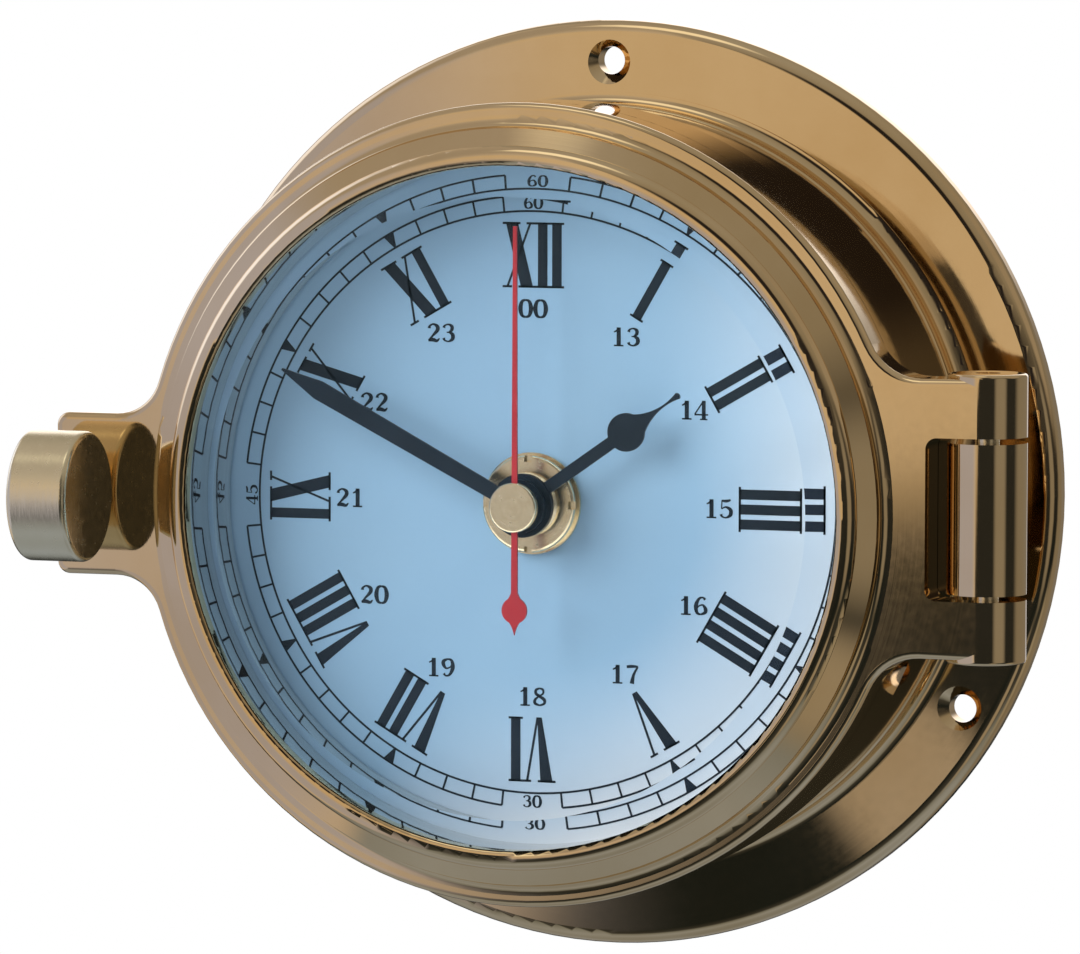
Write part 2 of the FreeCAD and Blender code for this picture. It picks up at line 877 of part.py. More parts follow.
CENTRE = (0, 0)
STEP_AXIS = at(value("step_direction"), gear_distance("seconds_module", "step_leaves", "second_teeth"))
ROTOR_AXIS = at(
    value("rotor_direction"), gear_distance("train_module", "rotor_leaves", "step_teeth"), STEP_AXIS)
THIRD_AXIS = at(value("third_direction"), gear_distance("train_module", "second_leaves", "third_teeth"))
MOTION_AXIS = at(value("motion_direction"), gear_distance("train_module", "cannon_teeth", "motion_teeth"))
SETTING_AXIS = at(value("motion_direction"), gear_distance("train_module", "motion_teeth", "setting_teeth"),
                  MOTION_AXIS)


def point(place):
    """A train point as a pair of formulas for a sketch."""
    return f"{place[0]:.4f}", f"{place[1]:.4f}"


def movement_front_housing():
    """Square tray, open at the back, with a wall between the train and the battery bay."""
    body = new_body("movement_front_housing")
    block = new_sketch(body, "XY_Plane", "lid_depth")
    draw_box(block, "-movement_half", "-movement_half", "movement_half", "movement_half")
    pad(body, block, "movement_front - lid_depth")
    train = new_sketch(body, "XY_Plane", "lid_depth")
    draw_box(train, "case_wall - movement_half", "case_wall - bay_wall",
             "movement_half - case_wall", "movement_half - case_wall")
    pocket(body, train, "movement_front - case_wall - lid_depth", True)
    bay = new_sketch(body, "XY_Plane", "lid_depth")
    draw_box(bay, "case_wall - movement_half", "-bay_floor", "movement_half - case_wall", "-bay_wall")
    pocket(body, bay, "movement_front - case_wall - lid_depth", True)
    bush = new_sketch(body, "XY_Plane", "movement_front")
    draw_circle(bush, "bush_radius")
    pocket(body, bush, "2 * case_wall")
    stud = new_sketch(body, "XY_Plane", "motion_wheel_depth - stud_proud")
    draw_circle(stud, "stud_radius", *point(MOTION_AXIS))
    pad(body, stud, "movement_front - case_wall - motion_wheel_depth + stud_proud")
    holes = new_sketch(body, "XY_Plane", "movement_front - case_wall - pivot_hole_start")
    for axis in (STEP_AXIS, THIRD_AXIS, ROTOR_AXIS):
        draw_circle(holes, "pivot_radius + pivot_fit", *point(axis))
    draw_circle(holes, "pivot_radius + pivot_fit", *point(SETTING_AXIS))
    pocket(body, holes, "pivot_hole_front", True)


def movement_back_housing():
    """Lid over the train, with the rear pivot holes and a way through for the setting stem."""
    body = new_body("movement_back_housing")
    plate = new_sketch(body, "XY_Plane", "movement_back")
    draw_box(plate, "-movement_half", "case_wall - bay_wall - lid_lap", "movement_half", "movement_half")
    pad(body, plate, "lid_depth - movement_back")
    holes = new_sketch(body, "XY_Plane", "lid_depth")
    for axis in (CENTRE, STEP_AXIS, THIRD_AXIS, ROTOR_AXIS):
        draw_circle(holes, "pivot_radius + pivot_fit", *point(axis))
    pocket(body, holes, "pivot_hole_back")
    stem = new_sketch(body, "XY_Plane", "lid_depth")
    draw_circle(stem, "stem_radius + 2 * pivot_fit", *point(SETTING_AXIS))
    pocket(body, stem, "2 * (lid_depth - movement_back)")
    for across, along in (
            ("board_left + board_post_inset", "board_low + board_post_inset"),
            ("board_right - board_post_inset", "board_high - board_post_inset")):
        post = new_sketch(body, "XY_Plane", "lid_depth")
        draw_circle(post, "board_post", across, along)
        pad(body, post, "board_back - lid_depth")
    rest = new_sketch(body, "XY_Plane", "lid_depth")
    draw_box(rest, "-rest_left", "core_height - rest_drop", "-rest_right", "core_height")
    pad(body, rest, "stator_back - lid_depth")


# ---- Electrical pieces --------------------------------------------------------------------------

def battery_cell():
    """Single cylindrical cell lying across the lower bay, with its button to the right."""
    body = new_body("battery_cell", FreeCAD.Placement(
        FreeCAD.Vector(0, -value("battery_drop"), value("battery_depth")), FreeCAD.Rotation()))
    turned(body, [
        ("0", "0"), ("battery_length / 2", "0"), ("battery_length / 2", "nub_radius"),
        ("battery_length / 2 + nub_length", "nub_radius"), ("battery_length / 2 + nub_length", "0")],
        axis="H_Axis")
    can = new_sketch(body, "YZ_Plane")
    draw_circle(can, "battery_radius")
    pad(body, can, "battery_length", True)

    def can_end(edge, box):
        return box.XLength < CLOSE and box.YLength > 2 * value("nub_radius") + 1
    rounded(body, "battery_round", can_end)


def battery_contact(label, side):
    """Sprung sheet contact at one end of the battery bay."""
    body = new_body(label)
    near = "movement_half - case_wall - contact_sheet"
    far = "movement_half - case_wall"
    sketch = new_sketch(body, "XY_Plane", "battery_depth - contact_half")
    drop = "-battery_drop"
    if side > 0:
        draw_box(sketch, near, f"{drop} - contact_half", far, f"{drop} + contact_half")
    else:
        draw_box(sketch, f"-({far})", f"{drop} - contact_half", f"-({near})", f"{drop} + contact_half")
    pad(body, sketch, "2 * contact_half")


def stator_plate():
    """Soft iron plate round the rotor, reaching under the coil's core."""
    body = new_body("stator_plate")
    sketch = new_sketch(body, "XY_Plane", "stator_back")
    draw_box(sketch, "-stator_left", "stator_low", "stator_right", "stator_high")
    pad(body, sketch, "stator_sheet")
    hole = new_sketch(body, "XY_Plane", "stator_back")
    draw_circle(hole, "stator_hole", *point(ROTOR_AXIS))
    pocket(body, hole, "2 * stator_sheet", True)


def coil_core():
    body = new_body("coil_core")
    sketch = new_sketch(body, "XY_Plane", "stator_back + stator_sheet")
    draw_box(sketch, "-core_left", "core_height - core_half", "coil_right + core_tail", "core_height + core_half")
    pad(body, sketch, "core_sheet")


def coil_place():
    return FreeCAD.Placement(
        FreeCAD.Vector(0, value("core_height"), value("stator_back + stator_sheet + core_sheet / 2")),
        FreeCAD.Rotation())


def coil_bobbin():
    """Plastic bobbin on the core: two round cheeks joined by a square tube."""
    body = new_body("coil_bobbin", coil_place())
    near = new_sketch(body, "YZ_Plane", "coil_left - cheek_sheet")
    draw_circle(near, "flange_coil")
    pad(body, near, "cheek_sheet")
    tube = new_sketch(body, "YZ_Plane", "coil_left - cheek_sheet")
    draw_box(tube, "-core_half - tube_wall", "-core_sheet / 2 - tube_wall",
             "core_half + tube_wall", "core_sheet / 2 + tube_wall")
    pad(body, tube, "coil_right - coil_left + 2 * cheek_sheet")
    far = new_sketch(body, "YZ_Plane", "coil_right")
    draw_circle(far, "flange_coil")
    pad(body, far, "cheek_sheet")
    bore = new_sketch(body, "YZ_Plane", "coil_left - 2 * cheek_sheet")
    draw_box(bore, "-core_half", "-core_sheet / 2", "core_half", "core_sheet / 2")
    pocket(body, bore, "coil_right - coil_left + 4 * cheek_sheet", True)


def coil_winding():
    body = new_body("coil_winding", coil_place())
    copper = new_sketch(body, "YZ_Plane", "coil_left")
    draw_circle(copper, "coil_radius")
    pad(body, copper, "coil_right - coil_left")
    bore = new_sketch(body, "YZ_Plane", "coil_left")
    draw_box(bore, "-core_half - tube_wall", "-core_sheet / 2 - tube_wall",
             "core_half + tube_wall", "core_sheet / 2 + tube_wall")
    pocket(body, bore, "coil_right - coil_left", True)


def circuit_board():
    body = new_body("circuit_board")
    sketch = new_sketch(body, "XY_Plane", "board_back")
    draw_box(sketch, "board_left", "board_low", "board_right", "board_high")
    pad(body, sketch, "board_sheet")


def driver_chip():
    body = new_body("driver_chip")
    sketch = new_sketch(body, "XY_Plane", "board_back + board_sheet")
    draw_circle(sketch, "chip_radius", "board_left + chip_inset", "board_low + chip_inset")
    pad(body, sketch, "chip_height")


def quartz_crystal():
    """Small metal can lying on the board."""
    body = new_body("quartz_crystal", FreeCAD.Placement(
        FreeCAD.Vector(value("board_left + crystal_inset"), value("board_high - crystal_inset"),
                       value("board_back + board_sheet + crystal_radius")), FreeCAD.Rotation()))
    sketch = new_sketch(body, "YZ_Plane")
    draw_circle(sketch, "crystal_radius")
    pad(body, sketch, "crystal_length")


# ---- Gear train ---------------------------------------------------------------------------------

def add_gear(body, teeth, module, back, face, turn=0):
    """A toothed disc of trapezoidal teeth, with one tooth centred on the turn angle."""
    root = f"({module} * ({teeth} / 2 - tooth_foot))"
    tip = f"({module} * ({teeth} / 2 + tooth_top))"
    disc = new_sketch(body, "XY_Plane", back)
    draw_circle(disc, root)
    pad(body, disc, face)
    tooth = new_sketch(body, "XY_Plane", back, turn)
    foot_side = f"tooth_root_half * {module}"
    top_side = f"tooth_tip_half * {module}"
    draw_outline(tooth, [
        (f"{root} - tooth_bite", f"-{foot_side}"), (root, f"-{foot_side}"), (tip, f"-{top_side}"),
        (tip, top_side), (root, foot_side), (f"{root} - tooth_bite", foot_side)])
    around(body, pad(body, tooth, face), teeth)


def add_rod(body, radius, back, front):
    rod = new_sketch(body, "XY_Plane", back)
    draw_circle(rod, radius)
    pad(body, rod, f"{front} - ({back})")


def add_bore(body, radius, back, front):
    bore = new_sketch(body, "XY_Plane", back)
    draw_circle(bore, radius)
    pocket(body, bore, f"{front} - ({back})", True)


def train_place(axis):
    return FreeCAD.Placement(FreeCAD.Vector(axis[0], axis[1], 0), FreeCAD.Rotation())


def gap_turn(direction, teeth):
    """Turn that puts a gap, not a tooth, in a direction."""
    return direction + 180 / value(teeth)


def rotor_pinion():
    body = new_body("rotor_pinion", train_place(ROTOR_AXIS))
    toward_step = value("rotor_direction") + 180
    add_gear(body, "rotor_leaves", "train_module", "step_wheel_depth - pinion_lap", "pinion_face", toward_step)
    add_rod(body, "pivot_radius", "lid_depth - pivot_back", "movement_front - case_wall + pivot_front")
    add_rod(body, "rotor_post", "magnet_front", "step_wheel_depth")


def rotor_magnet():
    """Two-pole magnet pressed on the rotor's spindle."""
    turned_ring("rotor_magnet", ring_section(
        "pivot_radius", "magnet_radius", "magnet_back", "magnet_front"), train_place(ROTOR_AXIS))


def step_wheel():
    """First reduction wheel: driven by the rotor, drives the seconds wheel."""
    body = new_body("step_wheel", train_place(STEP_AXIS))
    add_gear(body, "step_teeth", "train_module", "step_wheel_depth", "wheel_sheet",
             gap_turn(value("rotor_direction"), "step_teeth"))
    add_gear(body, "step_leaves", "seconds_module", "step_wheel_depth + wheel_sheet", "tall_pinion",
             value("step_direction") + 180)
    add_rod(body, "pivot_radius", "lid_depth - pivot_back", "movement_front - case_wall + pivot_front")


def second_wheel():
    """Seconds wheel on the long centre arbor that carries the seconds hand."""
    body = new_body("second_wheel")
    add_gear(body, "second_teeth", "seconds_module", "second_wheel_depth", "wheel_sheet",
             gap_turn(value("step_direction"), "second_teeth"))
    add_gear(body, "second_leaves", "train_module", "second_wheel_depth + wheel_sheet", "tall_pinion",
             value("third_direction"))
    add_rod(body, "arbor_radius", "lid_depth + arbor_clear", "arbor_front")
    add_rod(body, "pivot_radius", "lid_depth - pivot_back", "lid_depth + 2 * arbor_clear")


def third_wheel():
    """Middle wheel that slows the train from the seconds wheel to the minute wheel."""
    body = new_body("third_wheel", train_place(THIRD_AXIS))
    add_gear(body, "third_teeth", "train_module", "third_wheel_depth", "wheel_sheet",
             gap_turn(value("third_direction") + 180, "third_teeth"))
    add_gear(body, "third_leaves", "third_module", "third_wheel_depth + wheel_sheet", "third_pinion",
             value("third_direction") + 180)
    add_rod(body, "pivot_radius", "lid_depth - pivot_back", "movement_front - case_wall + pivot_front")
    add_rod(body, "post_radius", "lid_depth + arbor_clear", "third_wheel_depth")


def minute_wheel():
    """Centre wheel with the minute pipe and the cannon pinion in one piece."""
    body = new_body("minute_wheel")
    add_gear(body, "minute_teeth", "third_module", "minute_wheel_depth", "wheel_sheet",
             gap_turn(value("third_direction"), "minute_teeth"))
    add_gear(body, "cannon_teeth", "train_module", "minute_wheel_depth + wheel_sheet", "cannon_face",
             value("motion_direction"))
    add_rod(body, "minute_pipe", "minute_tail", "minute_front")
    add_bore(body, "minute_bore", "minute_tail - overrun", "minute_front + overrun")


def motion_wheel():
    """Motion-work wheel and pinion, turning on a stud of the front housing."""
    body = new_body("motion_wheel", train_place(MOTION_AXIS))
    add_gear(body, "motion_teeth", "train_module", "motion_wheel_depth", "wheel_sheet",
             gap_turn(value("motion_direction") + 180, "motion_teeth"))
    add_gear(body, "motion_leaves", "hour_module", "motion_wheel_depth + wheel_sheet", "motion_face",
             value("motion_direction") + 180)
    add_bore(body, "stud_radius + pivot_fit", "motion_wheel_depth - overrun", "hour_wheel_depth + 2 * overrun")


def hour_wheel():
    """Hour wheel and the hour pipe, riding on the minute pipe."""
    body = new_body("hour_wheel")
    add_gear(body, "hour_teeth", "hour_module", "hour_wheel_depth", "wheel_sheet",
             gap_turn(value("motion_direction"), "hour_teeth"))
    add_rod(body, "hour_pipe", "hour_wheel_depth", "hour_front")
    add_bore(body, "hour_bore", "hour_wheel_depth - overrun", "hour_front + overrun")


def setting_stem():
    """Pinion and stem that turn the motion work from behind."""
    body = new_body("setting_stem", train_place(SETTING_AXIS))
    add_gear(body, "setting_teeth", "train_module", "motion_wheel_depth - pinion_lap", "pinion_face",
             value("motion_direction") + 180)
    add_rod(body, "stem_radius", "knob_back + knob_depth / 2", "motion_wheel_depth")
    add_rod(body, "pivot_radius", "motion_wheel_depth", "movement_front - case_wall + pivot_front")


def setting_knob():
    """Fluted finger knob on the back of the movement."""
    body = new_body("setting_knob", train_place(SETTING_AXIS))
    add_rod(body, "knob_radius", "knob_back", "knob_back + knob_depth")
    add_bore(body, "stem_radius", "knob_back + knob_depth / 2", "knob_back + knob_depth + overrun")
    flute = new_sketch(body, "XY_Plane", "knob_back")
    draw_circle(flute, "flute_radius", "knob_radius", "0")
    around(body, pocket(body, flute, "knob_depth", True), "knob_flutes")


# ---- Hands --------------------------------------------------------------------------------------

def hand_place(angle):
    """Hands are drawn pointing up and turned clockwise as the dial is read."""
    return FreeCAD.Placement(FreeCAD.Vector(0, 0, 0), FreeCAD.Rotation(OUT_OF_WALL, -value(angle)))


def hour_hand():
    """Spade hand: a straight shank, a round bulb and a point with hollow sides."""
    body = new_body("hour_hand", hand_place("hour_angle"))
    hub = new_sketch(body, "XY_Plane", "hour_hand_back")
    draw_circle(hub, "hour_hub")
    pad(body, hub, "hour_hand_sheet")
    shank = new_sketch(body, "XY_Plane", "hour_hand_back + hour_hand_sheet / 4")
    draw_box(shank, "-hour_shank", "hour_hub / 2", "hour_shank", "hour_bulb_reach - hour_bulb / 2")
    pad(body, shank, "hour_hand_sheet / 2")
    bulb = new_sketch(body, "XY_Plane", "hour_hand_back + hour_hand_sheet / 4")
    draw_circle(bulb, "hour_bulb", "0", "hour_bulb_reach")
    pad(body, bulb, "hour_hand_sheet / 2")
    tip = new_sketch(body, "XY_Plane", "hour_hand_back + hour_hand_sheet / 4")
    shoulder = "hour_bulb * shoulder_across"
    hollow = "hour_bulb_reach + hour_bulb * shoulder_along"
    draw_outline(tip, [
        (f"-{shoulder}", hollow), (shoulder, hollow, "hour_hollow"),
        ("hour_tip_width", "hour_tip", "-1.2 * hour_tip_width"),
        ("-hour_tip_width", "hour_tip", "hour_hollow")])
    pad(body, tip, "hour_hand_sheet / 2")
    add_bore(body, "hour_pipe", "hour_hand_back - overrun", "hour_hand_back + 2 * overrun")


def minute_hand():
    """Dagger hand, widening a little to its shoulder and then drawn to a point."""
    body = new_body("minute_hand", hand_place("minute_angle"))
    hub = new_sketch(body, "XY_Plane", "minute_hand_back")
    draw_circle(hub, "minute_hub")
    pad(body, hub, "minute_hand_sheet")
    blade = new_sketch(body, "XY_Plane", "minute_hand_back + minute_hand_sheet / 4")
    draw_outline(blade, [
        ("-minute_root", "minute_hub / 2"), ("minute_root", "minute_hub / 2"),
        ("minute_widest", "minute_taper"),
        ("minute_tip_width", "minute_tip"), ("-minute_tip_width", "minute_tip"),
        ("-minute_widest", "minute_taper")])
    pad(body, blade, "minute_hand_sheet / 2")
    add_bore(body, "minute_pipe", "minute_hand_back - overrun", "minute_hand_back + 2 * overrun")


def second_hand():
    """Long red needle with a short tail that ends in a small spade."""
    body = new_body("second_hand")
    hub = new_sketch(body, "XY_Plane", "second_hand_back")
    draw_circle(hub, "second_hub")
    pad(body, hub, "second_hand_sheet")
    needle = new_sketch(body, "XY_Plane", "second_hand_back")
    draw_outline(needle, [
        ("-second_root", "-second_bulge_reach"), ("second_root", "-second_bulge_reach"),
        ("second_tip_width", "second_tip"), ("-second_tip_width", "second_tip")])
    pad(body, needle, "second_hand_sheet")
    bulge = new_sketch(body, "XY_Plane", "second_hand_back")
    draw_circle(bulge, "second_bulge", "0", "-second_bulge_reach")
    pad(body, bulge, "second_hand_sheet")
    tail = new_sketch(body, "XY_Plane", "second_hand_back")
    side = "second_bulge * shoulder_across"
    rise = "second_bulge * shoulder_along"
    draw_outline(tail, [
        (side, f"-second_bulge_reach - {rise}"),
        (f"-{side}", f"-second_bulge_reach - {rise}", "bulge_hollow"),
        ("0", "-second_tail", "bulge_hollow")])
    pad(body, tail, "second_hand_sheet")
    root = new_sketch(body, "XY_Plane", "second_hand_back")
    draw_outline(root, [
        (f"-{side}", f"{rise} - second_bulge_reach"),
        (side, f"{rise} - second_bulge_reach", "bulge_hollow"),
        ("second_root", "bulge_root - second_bulge_reach"),
        ("-second_root", "bulge_root - second_bulge_reach", "bulge_hollow")])
    pad(body, root, "second_hand_sheet")
    add_bore(body, "arbor_radius", "second_hand_back - overrun", "second_hand_back + 2 * overrun")


def second_hand_cap():
    """Brass boss that carries the seconds hand and covers the end of its arbor."""
    turned_ring("second_hand_cap", [
        ("arbor_radius", "second_hand_back + second_hand_sheet"),
        ("cap_radius", "second_hand_back + second_hand_sheet"),
        ("cap_radius", "cap_front - cap_round", "-cap_round"),
        ("cap_radius - cap_round", "cap_front"),
        ("0", "cap_front"),
        ("0", "arbor_front"),
        ("arbor_radius", "arbor_front")])


HELPERS = []
PIECES = [
    mounting_flange, case_drum, case_collar, case_gasket, rear_cover, rear_cover_screws,
    bezel_ring, hinge_pin, glass_pane, glass_gasket, reflector_ring, snap_ring,
    thumbscrew_head, thumbscrew_shank,
    dial_plate, dial_screws, threaded_bush, dial_washer, mounting_nut, rubber_washer,
    movement_front_housing, movement_back_housing, battery_cell,
    stator_plate, coil_core, coil_bobbin, coil_winding, circuit_board, driver_chip, quartz_crystal,
    rotor_pinion, rotor_magnet, step_wheel, second_wheel, third_wheel, minute_wheel, motion_wheel,
    hour_wheel, setting_stem, setting_knob,
    hour_hand, minute_hand, second_hand, second_hand_cap]
for piece in PIECES:
    piece()
battery_contact("positive_contact", 1)
battery_contact("negative_contact", -1)
doc.recompute()

# ---- Check and write ----------------------------------------------------------------------------

failed = [item.Label for item in doc.Objects if "Invalid" in item.State or "Error" in item.State]
if failed:
    raise RuntimeError(f"failed: {', '.join(failed)}")
nodes = [item for item in doc.Objects
         if item.TypeId in ("PartDesign::Body", "Part::Feature") and item not in HELPERS]
os.makedirs("parts", exist_ok=True)
for node in nodes:
    shape = node.Shape
    if shape.isNull() or not shape.isValid():
        raise RuntimeError(f"{node.Label} has no valid shape")
    shape.exportStep(f"parts/{node.Label}.step")
    print(f"{node.Label}: {len(shape.Solids)} solid(s), {shape.Volume:.1f} mm3")
print(len(nodes), "nodes")
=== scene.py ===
import json
import math

import bmesh
import bpy
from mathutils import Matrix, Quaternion, Vector


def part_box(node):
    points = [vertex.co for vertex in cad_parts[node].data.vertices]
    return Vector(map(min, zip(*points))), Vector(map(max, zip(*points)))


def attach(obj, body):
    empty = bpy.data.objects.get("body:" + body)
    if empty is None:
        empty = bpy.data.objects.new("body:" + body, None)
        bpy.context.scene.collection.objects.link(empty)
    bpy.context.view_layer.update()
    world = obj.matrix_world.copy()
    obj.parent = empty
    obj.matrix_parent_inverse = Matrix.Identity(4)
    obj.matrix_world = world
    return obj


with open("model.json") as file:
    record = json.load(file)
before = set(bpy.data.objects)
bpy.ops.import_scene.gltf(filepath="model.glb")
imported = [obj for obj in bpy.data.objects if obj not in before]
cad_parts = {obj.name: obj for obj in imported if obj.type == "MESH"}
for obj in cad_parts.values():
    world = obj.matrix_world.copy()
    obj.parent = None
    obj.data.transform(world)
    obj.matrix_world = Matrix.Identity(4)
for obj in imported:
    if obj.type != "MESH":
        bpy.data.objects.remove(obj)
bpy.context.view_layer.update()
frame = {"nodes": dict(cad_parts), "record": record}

MM = 0.001
# Radius of the dial that shows inside the bezel's lip, in metres.
DIAL_REACH = 0.0425
# Scales of the noise in the materials: how many features it has to a metre.
LATHE_SCALE, REFLECTOR_RINGS, SPECK_SCALE, HAZE_SCALE = 2600, 3000, 900, 38
GRAIN_SCALE, CLOUD_SCALE, STEEL_GRAIN, SMEAR_SCALE = 1800, 130, 1400, 60
PAINT_CLOUD, PAINT_GRAIN, COPPER_GRAIN, FLOOR_CLOUD = 22, 2500, 800, 3
# How fast the winding's turns follow each other, in radians to a metre.
WIRE_TURNS = 25000.0

# ---- Procedural materials -----------------------------------------------------------------------


class Nodes:
    """Short ways to add linked nodes to a tree."""

    def __init__(self, tree):
        self.tree = tree

    def add(self, kind, inputs=(), **settings):
        node = self.tree.nodes.new(kind)
        for field, setting in settings.items():
            setattr(node, field, setting)
        for key, feed in dict(inputs).items():
            if hasattr(feed, "is_output"):
                self.tree.links.new(feed, node.inputs[key])
            else:
                node.inputs[key].default_value = feed
        return node

    def math(self, operation, *feeds):
        return self.add("ShaderNodeMath", enumerate(feeds), operation=operation).outputs[0]

    def ramp(self, feed, *stops):
        """Colours or numbers at their places along the feed."""
        node = self.add("ShaderNodeValToRGB", {0: feed})
        elements = node.color_ramp.elements
        while len(elements) < len(stops):
            elements.new(0.5)
        for element, (place, shade) in zip(elements, stops):
            element.position = place
            element.color = (*shade, 1.0) if isinstance(shade, tuple) else (shade, shade, shade, 1.0)
        return node.outputs[0]


class Graph(Nodes):
    """One material's node tree, built around its Principled shader."""

    def __init__(self, name, **sockets):
        self.material = bpy.data.materials.new(name)
        self.material.use_nodes = True
        super().__init__(self.material.node_tree)
        self.shader = self.tree.nodes["Principled BSDF"]
        self.place = self.add("ShaderNodeTexCoord").outputs["Object"]
        for socket, number in sockets.items():
            self.shader.inputs[socket.replace("_", " ")].default_value = number

    def turned_place(self):
        """(distance from the clock's axis, depth, 0): the same all the way round a lathe cut."""
        parts = self.add("ShaderNodeSeparateXYZ", {0: self.place}).outputs
        squares = [self.math("POWER", parts[axis], 2.0) for axis in "XZ"]
        reach = self.math("SQRT", self.math("ADD", *squares))
        return self.add("ShaderNodeCombineXYZ", {0: reach, 1: parts["Y"]}).outputs[0]

    def noise(self, scale, place=None, detail=3.0):
        return self.add("ShaderNodeTexNoise", {
            "Vector": place or self.place, "Scale": scale, "Detail": detail,
            "Roughness": 0.55}).outputs["Fac"]

    def feed(self, socket, output):
        self.tree.links.new(output, self.shader.inputs[socket])

    def clear_to_shadows(self):
        """Let light straight through to what is behind."""
        path = self.add("ShaderNodeLightPath").outputs["Is Shadow Ray"]
        clear = self.add("ShaderNodeBsdfTransparent").outputs[0]
        both = self.add("ShaderNodeMixShader", {0: path, 1: self.shader.outputs[0], 2: clear})
        self.tree.links.new(both.outputs[0], self.tree.nodes["Material Output"].inputs["Surface"])

    def bump(self, height, distance, strength=1.0):
        inputs = {"Height": height, "Distance": distance, "Strength": strength}
        self.feed("Normal", self.add("ShaderNodeBump", inputs).outputs[0])


def brass(name, pale, deep, roughness, spread, lathe):
    """Brass with warm patches, specks in its gloss, and rings as high as `lathe`, in metres."""
    graph = Graph(name, Metallic=1.0)
    rings = graph.noise(LATHE_SCALE, graph.turned_place(), 2.0)
    haze = graph.noise(HAZE_SCALE, None, 5.0)
    specks = graph.noise(SPECK_SCALE, None, 2.0)
    tone = graph.math("ADD", graph.math("MULTIPLY", haze, 0.96), graph.math("MULTIPLY", rings, 0.04))
    graph.feed("Base Color", graph.ramp(tone, (0.3, deep), (0.7, pale)))
    gloss = graph.math("ADD", graph.math("MULTIPLY", rings, 0.3), graph.math("MULTIPLY", specks, 0.7))
    graph.feed("Roughness", graph.ramp(gloss, (0.3, roughness - spread), (0.7, roughness + spread)))
    graph.bump(rings, lathe)
    return graph


